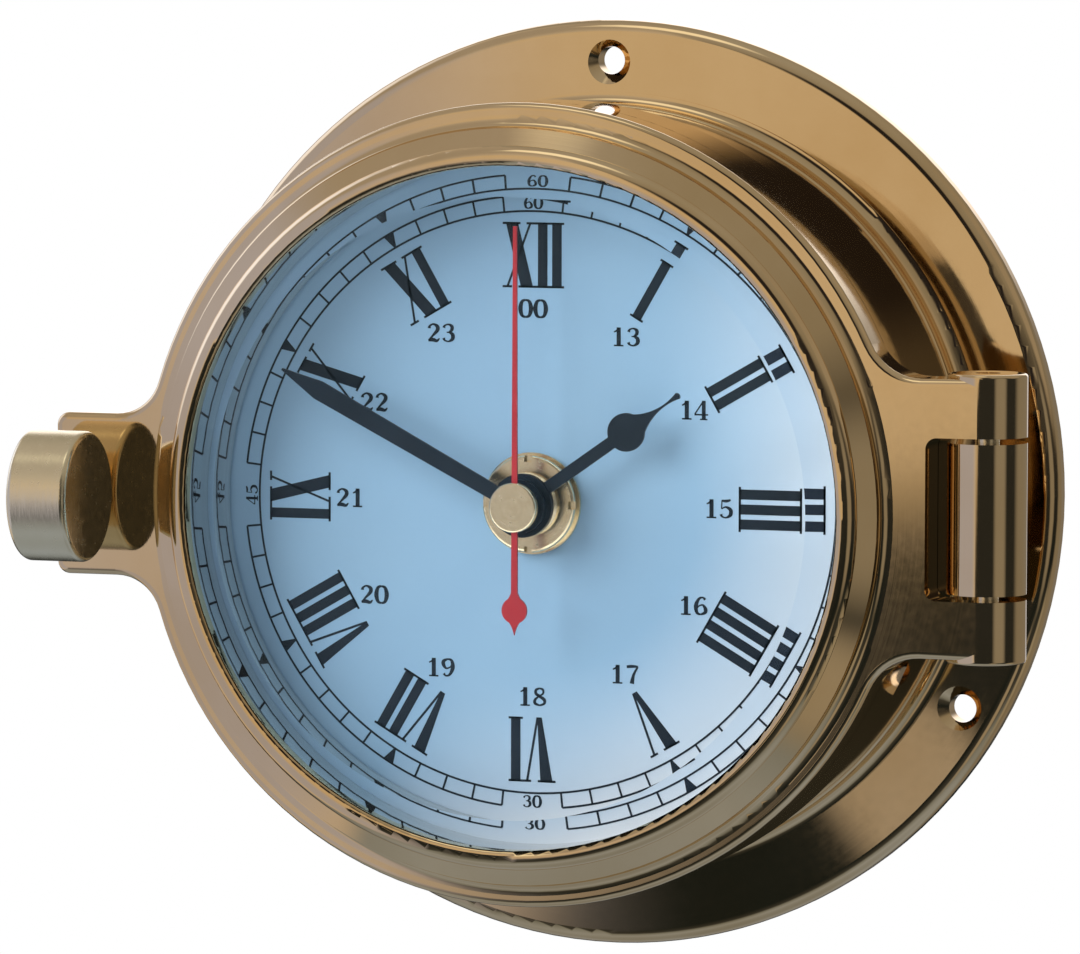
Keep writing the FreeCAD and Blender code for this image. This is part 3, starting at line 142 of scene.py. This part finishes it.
def build_materials():
    made = {}
    made["polished_brass"] = brass(
        "polished_brass", (0.87, 0.67, 0.40), (0.76, 0.55, 0.29), 0.05, 0.015, 0.000001)
    made["turned_brass"] = brass(
        "turned_brass", (0.97, 0.86, 0.60), (0.88, 0.74, 0.48), 0.24, 0.05, 0.000008)

    graph = Graph("reflector_silver", Metallic=1.0)
    rings = graph.noise(REFLECTOR_RINGS, graph.turned_place(), 2.0)
    graph.feed("Base Color", graph.ramp(rings, (0.3, (0.74, 0.72, 0.69)), (0.7, (0.82, 0.80, 0.77))))
    graph.feed("Roughness", graph.ramp(rings, (0.3, 0.03), (0.7, 0.08)))
    made["reflector_silver"] = graph

    graph = Graph("steel", Metallic=1.0)
    grain = graph.noise(STEEL_GRAIN, None, 3.0)
    graph.feed("Base Color", graph.ramp(grain, (0.3, (0.50, 0.50, 0.52)), (0.7, (0.68, 0.68, 0.69))))
    graph.feed("Roughness", graph.ramp(grain, (0.3, 0.25), (0.7, 0.4)))
    graph.bump(grain, 0.00002)
    made["steel"] = graph

    graph = Graph("glass", Transmission_Weight=1.0, IOR=1.52, Specular_Tint=(0.16, 0.26, 0.32, 1.0))
    smear = graph.noise(SMEAR_SCALE, None, 4.0)
    graph.feed("Base Color", graph.ramp(smear, (0.3, (0.97, 0.99, 1.0)), (0.7, (0.99, 1.0, 1.0))))
    graph.feed("Roughness", graph.ramp(smear, (0.45, 0.0), (0.8, 0.012)))
    graph.clear_to_shadows()
    made["glass"] = graph

    graph = Graph("dial_paint", Metallic=0.0)
    cloud = graph.noise(PAINT_CLOUD, None, 3.0)
    grain = graph.noise(PAINT_GRAIN, None, 2.0)
    paint = graph.ramp(cloud, (0.3, (0.29, 0.49, 0.69)), (0.7, (0.32, 0.53, 0.73)))
    # Painted light: the paint turns paler towards the rim, most of all at lower right, where the bright
    # ring round the dial throws its light.
    reach = graph.add("ShaderNodeSeparateXYZ", {0: graph.turned_place()}).outputs["X"]
    painted_glow_rim = graph.ramp(graph.math("DIVIDE", reach, DIAL_REACH), (0.5, 0.0), (0.86, 0.45), (1.0, 1.0))
    parts = graph.add("ShaderNodeSeparateXYZ", {0: graph.place}).outputs
    side = graph.math("MULTIPLY_ADD", parts["Z"], -0.6, parts["X"])
    side = graph.ramp(graph.math("DIVIDE", side, DIAL_REACH), (0.0, 0.0), (0.75, 1.0))
    share = graph.math("MULTIPLY", painted_glow_rim, side)
    # Painted light: the pale blue-white that the paint is mixed towards near the rim.
    painted_glow_colour = (0.93, 0.96, 0.98, 1.0)
    paint = graph.add("ShaderNodeMixRGB", {0: share, 1: paint, 2: painted_glow_colour}).outputs[0]
    graph.feed("Base Color", paint)
    graph.feed("Roughness", graph.ramp(grain, (0.3, 0.42), (0.7, 0.52)))
    graph.bump(grain, 0.00001, 0.4)
    made["dial_paint"] = graph

    for name, low, high, gloss in (
            ("hand_black", (0.006, 0.012, 0.020), (0.011, 0.020, 0.032), 0.42),
            ("hand_red", (0.36, 0.02, 0.03), (0.44, 0.03, 0.04), 0.35),
            ("rubber", (0.012, 0.012, 0.012), (0.03, 0.03, 0.03), 0.7),
            ("pale_seal", (0.66, 0.58, 0.44), (0.78, 0.71, 0.57), 0.5),
            ("housing_plastic", (0.012, 0.012, 0.014), (0.03, 0.03, 0.034), 0.5),
            ("gear_plastic", (0.74, 0.71, 0.62), (0.86, 0.83, 0.75), 0.45),
            ("board_green", (0.01, 0.12, 0.05), (0.02, 0.20, 0.09), 0.35),
            ("cell_wrap", (0.05, 0.08, 0.22), (0.08, 0.12, 0.30), 0.3),
            ("cover_paint", (0.02, 0.02, 0.022), (0.045, 0.045, 0.048), 0.45)):
        graph = Graph(name, Specular_IOR_Level=0.3 if name == "hand_black" else 0.5)
        cloud = graph.noise(CLOUD_SCALE, None, 4.0)
        grain = graph.noise(GRAIN_SCALE, None, 2.0)
        graph.feed("Base Color", graph.ramp(cloud, (0.3, low), (0.7, high)))
        graph.feed("Roughness", graph.ramp(grain, (0.3, gloss - 0.06), (0.7, gloss + 0.06)))
        graph.bump(grain, 0.00002, 0.5)
        made[name] = graph

    graph = Graph("copper", Metallic=1.0)
    parts = graph.add("ShaderNodeSeparateXYZ", {0: graph.place}).outputs
    turns = graph.math("SINE", graph.math("MULTIPLY", parts["X"], WIRE_TURNS))
    graph.feed("Base Color", graph.ramp(turns, (0.0, (0.45, 0.16, 0.06)), (0.8, (0.80, 0.36, 0.18))))
    graph.feed("Roughness", graph.ramp(graph.noise(COPPER_GRAIN), (0.3, 0.25), (0.7, 0.4)))
    graph.bump(turns, 0.00004)
    made["copper"] = graph
    return {name: graph.material for name, graph in made.items()}


MATERIALS = build_materials()
for part in frame["record"]["subparts"]:
    mesh = frame["nodes"][part["node"]].data
    mesh.materials.clear()
    mesh.materials.append(MATERIALS[part["material_slot"]])

# ---- Dial printing ------------------------------------------------------------------------------

DIAL_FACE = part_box("dial_plate")[0].y
INK_SINK, INK_PROUD = 0.00002, 0.00003


def ribbon(mesh, left, right, closed=False):
    """A thin closed slab of ink between two rails of (x, z) points in millimetres."""
    depths = (DIAL_FACE + INK_SINK, DIAL_FACE - INK_PROUD)
    rows = []
    for ends in zip(left, right):
        rows.append([mesh.verts.new((x * MM, depth, z * MM)) for x, z in ends for depth in depths])
    pairs = list(zip(rows, rows[1:]))
    if closed:
        pairs.append((rows[-1], rows[0]))
    else:
        mesh.faces.new([rows[0][i] for i in (0, 1, 3, 2)])
        mesh.faces.new([rows[-1][i] for i in (0, 2, 3, 1)])
    for here, there in pairs:
        for i, j in ((0, 2), (2, 3), (3, 1), (1, 0)):
            mesh.faces.new([here[i], here[j], there[j], there[i]])


def printed(name, draw):
    """Make one printed piece from a function that draws into its mesh."""
    mesh = bmesh.new()
    draw(mesh)
    bmesh.ops.recalc_face_normals(mesh, faces=mesh.faces)
    data = bpy.data.meshes.new(name)
    mesh.to_mesh(data)
    mesh.free()
    piece = bpy.data.objects.new(name, data)
    bpy.context.scene.collection.objects.link(piece)
    data.materials.append(MATERIALS["hand_black"])
    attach(piece, "case")


def on_dial(clock_angle, turn, height, across, along):
    """Glyph coordinates to the dial: turned by `turn`, centred at `height` from the middle."""
    a, b = math.radians(clock_angle), math.radians(turn)
    x = height * math.sin(a) + across * math.cos(b) + along * math.sin(b)
    z = height * math.cos(a) - across * math.sin(b) + along * math.cos(b)
    return x, z


def draw_bar(mesh, turn, reach, low, high, foot, top):
    """A bar along the dial's radius, from its (left, right) edges at the foot to those at the top."""
    rails = []
    for side in (0, 1):
        rails.append([
            on_dial(turn, turn, reach, foot[side], low), on_dial(turn, turn, reach, top[side], high)])
    ribbon(mesh, *rails)


HOUR_TURN, MINUTE_TURN = 30, 6
# The minute track's rings, its line, half the wedge at each fifth minute, and its fineness, in mm.
TRACK_INNER, TRACK_OUTER, TRACK_LINE = 36.6, 38.5, 0.26
WEDGE_FOOT, WEDGE_TOP = 0.12, 0.75
RING_STEPS, QUARTER_STEPS, QUARTER_TURN = 240, 52, 90


def arc_rails(radius, width, start, end, steps):
    angles = [math.radians(start + (end - start) * i / steps) for i in range(steps + 1)]
    rails = []
    for reach in (radius - width / 2, radius + width / 2):
        rails.append([(reach * math.sin(a), reach * math.cos(a)) for a in angles])
    return rails


def draw_track(mesh):
    inner = arc_rails(TRACK_INNER, TRACK_LINE, 0, 360, RING_STEPS)
    ribbon(mesh, *[rail[:-1] for rail in inner], closed=True)
    for quarter in range(4):
        start = quarter * QUARTER_TURN + MINUTE_TURN
        end = (quarter + 1) * QUARTER_TURN - MINUTE_TURN
        ribbon(mesh, *arc_rails(TRACK_OUTER, TRACK_LINE, start, end, QUARTER_STEPS))
    for minute in range(60):
        if minute % 15 == 0:
            continue
        foot = top = TRACK_LINE / 2
        if minute % 5 == 0:
            foot, top = WEDGE_FOOT, WEDGE_TOP
        draw_bar(mesh, minute * MINUTE_TURN, 0, TRACK_INNER, TRACK_OUTER, (-foot, foot), (-top, top))


# The Roman hours: from the dial's middle to their feet, height, serif, then bar, overhang and gap, in mm.
ROMAN_FOOT, ROMAN_HEIGHT, ROMAN_SERIF = 27.0, 8.2, 0.28
BAR, SERIF_REACH, LETTER_GAP = 1.25, 0.32, 0.62


def roman_letter(letter):
    """A letter's bars as (foot left, foot right, top left, top right), its width, and its serifs."""
    if letter == "I":
        return [(0, BAR, 0, BAR)], BAR, [(-SERIF_REACH, BAR + SERIF_REACH, top) for top in (0, 1)]
    if letter == "V":
        bars = [(1.55, 2.15, 0.1, 1.7), (1.95, 2.25, 3.35, 3.65)]
        return bars, 3.75, [(-0.3, 2.05, 1), (2.95, 4.05, 1)]
    bars = [(2.15, 3.75, 0.1, 1.7), (0.15, 0.45, 3.25, 3.55)]
    return bars, 3.75, [(-0.3, 2.05, 1), (2.85, 4.05, 1), (-0.3, 0.95, 0), (1.8, 4.05, 0)]


def draw_roman(mesh):
    words = ("XII", "I", "II", "III", "IIII", "V", "VI", "VII", "VIII", "IX", "X", "XI")
    for hour, word in enumerate(words):
        turn = hour * HOUR_TURN
        letters = [roman_letter(letter) for letter in word]
        width = sum(part[1] for part in letters) + LETTER_GAP * (len(word) - 1)
        start = -width / 2
        for bars, advance, serifs in letters:
            for bar in bars:
                edges = [start + edge for edge in bar]
                draw_bar(mesh, turn, ROMAN_FOOT, 0, ROMAN_HEIGHT, edges[:2], edges[2:])
            for left, right, top in serifs:
                low = top * (ROMAN_HEIGHT - ROMAN_SERIF)
                ends = (start + left, start + right)
                draw_bar(mesh, turn, ROMAN_FOOT, low, low + ROMAN_SERIF, ends, ends)
            start += advance + LETTER_GAP


# Each stroke of a digit is a pen's path of (x, y, width), in heights of the digit.
DIGITS = {
    "0": [
        [(0.5, 0.95, 0.1), (0.3, 0.86, 0.17), (0.21, 0.5, 0.24), (0.3, 0.14, 0.17),
         (0.5, 0.05, 0.1)],
        [(0.5, 0.95, 0.1), (0.7, 0.86, 0.17), (0.79, 0.5, 0.24), (0.7, 0.14, 0.17),
         (0.5, 0.05, 0.1)],
    ],
    "1": [
        [(0.52, 0.0, 0.22), (0.52, 0.98, 0.22)],
        [(0.26, 0.74, 0.07), (0.42, 0.82, 0.1), (0.52, 0.96, 0.12)],
        [(0.26, 0.04, 0.08), (0.78, 0.04, 0.08)],
    ],
    "2": [
        [(0.25, 0.72, 0.18), (0.28, 0.84, 0.12), (0.48, 0.94, 0.1), (0.7, 0.82, 0.2),
         (0.7, 0.62, 0.2), (0.45, 0.34, 0.12), (0.24, 0.1, 0.1)],
        [(0.2, 0.08, 0.12), (0.45, 0.12, 0.2), (0.68, 0.07, 0.15), (0.82, 0.2, 0.06)],
    ],
    "3": [
        [(0.24, 0.76, 0.17), (0.3, 0.88, 0.1), (0.5, 0.94, 0.09), (0.68, 0.84, 0.18),
         (0.68, 0.66, 0.18), (0.52, 0.53, 0.08), (0.4, 0.53, 0.07)],
        [(0.52, 0.53, 0.08), (0.72, 0.42, 0.2), (0.73, 0.2, 0.2), (0.52, 0.05, 0.09),
         (0.3, 0.1, 0.1), (0.23, 0.22, 0.17)],
    ],
    "4": [
        [(0.62, 0.0, 0.2), (0.62, 1.0, 0.2)],
        [(0.6, 0.98, 0.07), (0.14, 0.3, 0.07)],
        [(0.12, 0.27, 0.08), (0.86, 0.27, 0.08)],
        [(0.42, 0.03, 0.07), (0.82, 0.03, 0.07)],
    ],
    "5": [
        [(0.26, 0.93, 0.1), (0.5, 0.91, 0.15), (0.74, 0.97, 0.1)],
        [(0.27, 0.95, 0.06), (0.25, 0.5, 0.06)],
        [(0.25, 0.5, 0.06), (0.48, 0.6, 0.1), (0.73, 0.46, 0.2), (0.73, 0.2, 0.2),
         (0.5, 0.05, 0.09), (0.28, 0.1, 0.1), (0.22, 0.22, 0.16)],
    ],
    "6": [
        [(0.74, 0.82, 0.15), (0.62, 0.94, 0.09), (0.4, 0.86, 0.14), (0.24, 0.5, 0.22),
         (0.3, 0.14, 0.16), (0.5, 0.05, 0.09)],
        [(0.5, 0.05, 0.09), (0.74, 0.16, 0.18), (0.76, 0.34, 0.2), (0.62, 0.54, 0.11),
         (0.42, 0.5, 0.08), (0.32, 0.4, 0.08)],
    ],
    "7": [
        [(0.2, 0.9, 0.14), (0.5, 0.93, 0.16), (0.82, 0.92, 0.1)],
        [(0.8, 0.9, 0.1), (0.58, 0.5, 0.14), (0.48, 0.02, 0.24)],
    ],
    "8": [
        [(0.5, 0.95, 0.09), (0.3, 0.86, 0.14), (0.3, 0.66, 0.16), (0.52, 0.52, 0.16),
         (0.76, 0.34, 0.18), (0.74, 0.15, 0.14), (0.5, 0.05, 0.09)],
        [(0.5, 0.95, 0.09), (0.68, 0.88, 0.12), (0.68, 0.68, 0.1), (0.48, 0.54, 0.08),
         (0.26, 0.36, 0.14), (0.24, 0.16, 0.16), (0.5, 0.05, 0.09)],
    ],
}
DIGITS["9"] = [[(1 - x, 1 - y, width) for x, y, width in stroke] for stroke in DIGITS["6"]]
DIGIT_ADVANCE = 0.82
PEN_STEPS = 5


def smoothed(stroke):
    """Points along a smooth curve through the stroke's points."""
    if len(stroke) == 2:
        return stroke
    path = [stroke[0], *stroke, stroke[-1]]
    points = []
    for first, second, third, fourth in zip(path, path[1:], path[2:], path[3:]):
        for step in range(PEN_STEPS):
            t = step / PEN_STEPS
            points.append(tuple(
                0.5 * (2 * b + (c - a) * t + (2 * a - 5 * b + 4 * c - d) * t ** 2
                       + (3 * b - a - 3 * c + d) * t ** 3)
                for a, b, c, d in zip(first, second, third, fourth)))
    return [*points, stroke[-1]]


def draw_number(mesh, text, height, clock_angle, turn, reach):
    shift = -DIGIT_ADVANCE * len(text) / 2 - (1 - DIGIT_ADVANCE) / 2
    for place, digit in enumerate(text):
        for stroke in DIGITS[digit]:
            points = smoothed(stroke)
            left, right = [], []
            for index, (x, y, width) in enumerate(points):
                before = points[max(index - 1, 0)]
                after = points[min(index + 1, len(points) - 1)]
                step = Vector((after[0] - before[0], after[1] - before[1]))
                along = step.normalized() * width / 2
                for rail, side in ((left, 1), (right, -1)):
                    across = (x - side * along.y + shift + place * DIGIT_ADVANCE) * height
                    up = (y + side * along.x - 0.5) * height
                    rail.append(on_dial(clock_angle, turn, reach, across, up))
            ribbon(mesh, left, right)


# Height of the small numbers and how far they are from the dial's middle, in millimetres.
DAY_HEIGHT, DAY_REACH = 2.4, 24.4
MINUTE_HEIGHT, MINUTE_REACH = 1.6, (TRACK_INNER + TRACK_OUTER) / 2 + 0.1


def draw_hours(mesh):
    for hour in range(1, 13):
        text = "00" if hour == 12 else str(hour + 12)
        draw_number(mesh, text, DAY_HEIGHT, hour * HOUR_TURN, 0, DAY_REACH)


def draw_minutes(mesh):
    for minute in (15, 30, 45, 60):
        angle = minute * MINUTE_TURN
        draw_number(mesh, str(minute), MINUTE_HEIGHT, angle, 0 if minute == 30 else angle, MINUTE_REACH)


printed("dial_minute_track", draw_track)
printed("dial_roman_hours", draw_roman)
printed("dial_day_hours", draw_hours)
printed("dial_minute_numbers", draw_minutes)

# ---- Stage, light and camera --------------------------------------------------------------------

CLOCK_MIDDLE = Vector((0, -0.02, 0))
FLOOR_RADIUS, FLOOR_HEIGHT = 2.4, -0.45


def stage_floor():
    mesh = bmesh.new()
    bmesh.ops.create_circle(mesh, cap_ends=True, segments=96, radius=FLOOR_RADIUS)
    data = bpy.data.meshes.new("floor")
    mesh.to_mesh(data)
    mesh.free()
    floor = bpy.data.objects.new("floor", data)
    floor.location = (0, 0, FLOOR_HEIGHT)
    floor.visible_glossy = False
    floor.visible_diffuse = False
    bpy.context.scene.collection.objects.link(floor)
    graph = Graph(
        "pale_floor", Roughness=0.8, Emission_Color=(1.0, 1.0, 1.0, 1.0), Emission_Strength=0.5)
    graph.feed("Base Color", graph.ramp(graph.noise(FLOOR_CLOUD), (0.3, 0.93), (0.7, 0.96)))
    data.materials.append(graph.material)


def aim(azimuth, elevation):
    """The way towards a view's azimuth and elevation, in degrees."""
    a, e = math.radians(azimuth), math.radians(elevation)
    return Vector((math.sin(a) * math.cos(e), -math.cos(a) * math.cos(e), math.sin(e)))


def soft_light(name, way, distance, size, power):
    """A square area light that faces the clock and lights it without showing in the brass."""
    data = bpy.data.lights.new(name, "AREA")
    data.shape = "SQUARE"
    data.size = size
    data.energy = power
    light = bpy.data.objects.new(name, data)
    light.location = CLOCK_MIDDLE + way * distance
    light.rotation_mode = "QUATERNION"
    light.rotation_quaternion = way.to_track_quat("Z", "Y")
    light.visible_glossy = False
    light.visible_transmission = False
    bpy.context.scene.collection.objects.link(light)


# The grey light that matt surfaces get from the room.
AMBIENT = (0.24, 0.245, 0.26)
# Shades of the room that the brass mirrors. By height, from straight down at 0 to straight up at 1;
# then patches as (middle, angle that is full, angle where it ends, shade).
ROOM_HEIGHTS = (
    (0.0, (0.24, 0.27, 0.32)), (0.08, (0.31, 0.36, 0.46)), (0.16, (0.21, 0.24, 0.28)),
    (0.22, (0.05, 0.053, 0.055)), (0.37, (0.012, 0.016, 0.017)), (0.5, (0.03, 0.03, 0.03)),
    (0.62, (0.085, 0.078, 0.068)), (0.72, (0.27, 0.245, 0.205)), (0.93, (0.34, 0.32, 0.29)),
    (1.0, (0.36, 0.35, 0.33)))
ROOM_PATCHES = (
    (aim(-75, 12), 57, 62, (0.60, 0.535, 0.475)),
    (aim(-16, 12), 16.2, 17.4, (0.62, 0.52, 0.40)),
    (aim(-70, 48), 14, 50, (0.38, 0.35, 0.33)),
    (aim(-62, -6), 33, 46, (0.44, 0.46, 0.63)),
    (aim(-108, 24), 10, 28, (1.1, 1.2, 1.6)),
    (aim(-168, 14), 10, 30, (1.45, 1.42, 1.5)),
    (aim(-28, 70), 5, 15, (1.1, 1.06, 0.95)),
    (aim(9, 23), 9, 19, (0.02, 0.018, 0.02)),
    (aim(140, -12), 22, 44, (0.24, 0.22, 0.19)),
    (aim(-10.2, -12.2), 1.3, 2.7, (0.40, 0.36, 0.33)),
    (aim(53, -3), 8, 22, (0.27, 0.25, 0.22)),
    (aim(38, -32), 4, 14, (0.34, 0.31, 0.27)),
    (aim(98, -32), 5, 18, (0.32, 0.30, 0.26)),
    (aim(100, 30), 12, 30, (0.34, 0.30, 0.25)))


def studio_world():
    """White behind the clock, soft grey light on it, and a room of shaded patches in its brass."""
    world = bpy.data.worlds.new("studio")
    bpy.context.scene.world = world
    world.use_nodes = True
    world.node_tree.nodes.clear()
    graph = Nodes(world.node_tree)
    way = graph.add("ShaderNodeTexCoord").outputs["Generated"]
    rise = graph.add("ShaderNodeSeparateXYZ", {0: way}).outputs["Z"]
    room = graph.ramp(graph.math("MULTIPLY_ADD", rise, 0.5, 0.5), *ROOM_HEIGHTS)
    for middle, full, edge, shade in ROOM_PATCHES:
        facing = graph.add("ShaderNodeVectorMath", {0: way, 1: middle}, operation="DOT_PRODUCT")
        share = graph.add("ShaderNodeMapRange", {
            "Value": facing.outputs["Value"], "From Min": math.cos(math.radians(edge)),
            "From Max": math.cos(math.radians(full))}, interpolation_type="SMOOTHSTEP").outputs[0]
        room = graph.add("ShaderNodeMixRGB", {0: share, 1: room, 2: (*shade, 1.0)}).outputs[0]
    path = graph.add("ShaderNodeLightPath").outputs
    mirrored = graph.math("GREATER_THAN", path["Glossy Depth"], 0.5)
    scattered = graph.math("GREATER_THAN", path["Diffuse Depth"], 0.5)
    seen = graph.add("ShaderNodeMixRGB", {0: mirrored, 1: (1.0, 1.0, 1.0, 1.0), 2: room}).outputs[0]
    seen = graph.add("ShaderNodeMixRGB", {0: scattered, 1: seen, 2: (*AMBIENT, 1.0)}).outputs[0]
    shade = graph.add("ShaderNodeBackground", {0: seen}).outputs[0]
    graph.add("ShaderNodeOutputWorld", {0: shade})


CAMERA_WAY, CAMERA_DISTANCE, CAMERA_ROLL = aim(18.5, 4.76), 0.9, math.radians(0.15)
CAMERA_LENS, CAMERA_SENSOR, CAMERA_SHIFT = 235.9, 36, (-0.0255, 0.0162)


def front_camera():
    data = bpy.data.cameras.new("camera")
    data.lens, data.sensor_width = CAMERA_LENS, CAMERA_SENSOR
    data.shift_x, data.shift_y = CAMERA_SHIFT
    data.clip_start, data.clip_end = 0.01, 20
    camera = bpy.data.objects.new("camera", data)
    camera.location = CLOCK_MIDDLE + CAMERA_WAY * CAMERA_DISTANCE
    camera.rotation_mode = "QUATERNION"
    level = CAMERA_WAY.to_track_quat("Z", "Y")
    camera.rotation_quaternion = Quaternion(CAMERA_WAY, CAMERA_ROLL) @ level
    bpy.context.scene.collection.objects.link(camera)
    bpy.context.scene.camera = camera


stage_floor()
studio_world()
soft_light("key", aim(-50, 24), 1.0, 0.75, 13)
soft_light("fill", aim(10, 30), 1.2, 0.9, 2)
soft_light("rake", aim(-81, 9), 1.0, 0.2, 16)
front_camera()
bpy.context.scene.view_settings.view_transform = "Standard"
